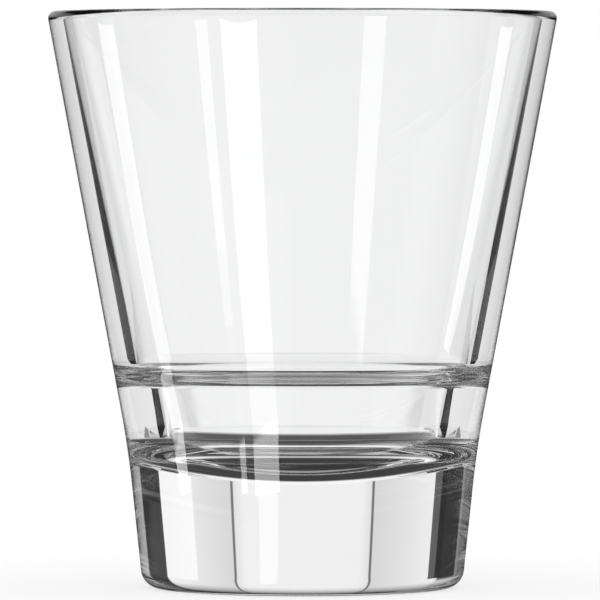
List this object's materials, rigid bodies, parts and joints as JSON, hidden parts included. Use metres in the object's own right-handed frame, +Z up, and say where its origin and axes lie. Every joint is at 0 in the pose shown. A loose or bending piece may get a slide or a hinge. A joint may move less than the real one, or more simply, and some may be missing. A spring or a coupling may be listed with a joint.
{
  "type": "rocks glass",
  "caption": "Heavy clear rocks glass with a tapered bowl, an inner ledge for stacking, a narrow well and a thick solid base.",
  "frame": {"origin": "centre of the ring that the glass stands on", "axes": "+Z up along the axis of the glass, from the foot to the rim"},
  "size_m": [0.086, 0.086, 0.0975],
  "materials": {
    "clear_glass": "fire-polished clear"
  },
  "bodies": {
    "root": {"rim": "clear_glass", "bowl_wall": "clear_glass", "stacking_ledge": "clear_glass", "well_wall": "clear_glass", "solid_base": "clear_glass", "foot": "clear_glass"}
  },
  "joints": []
}
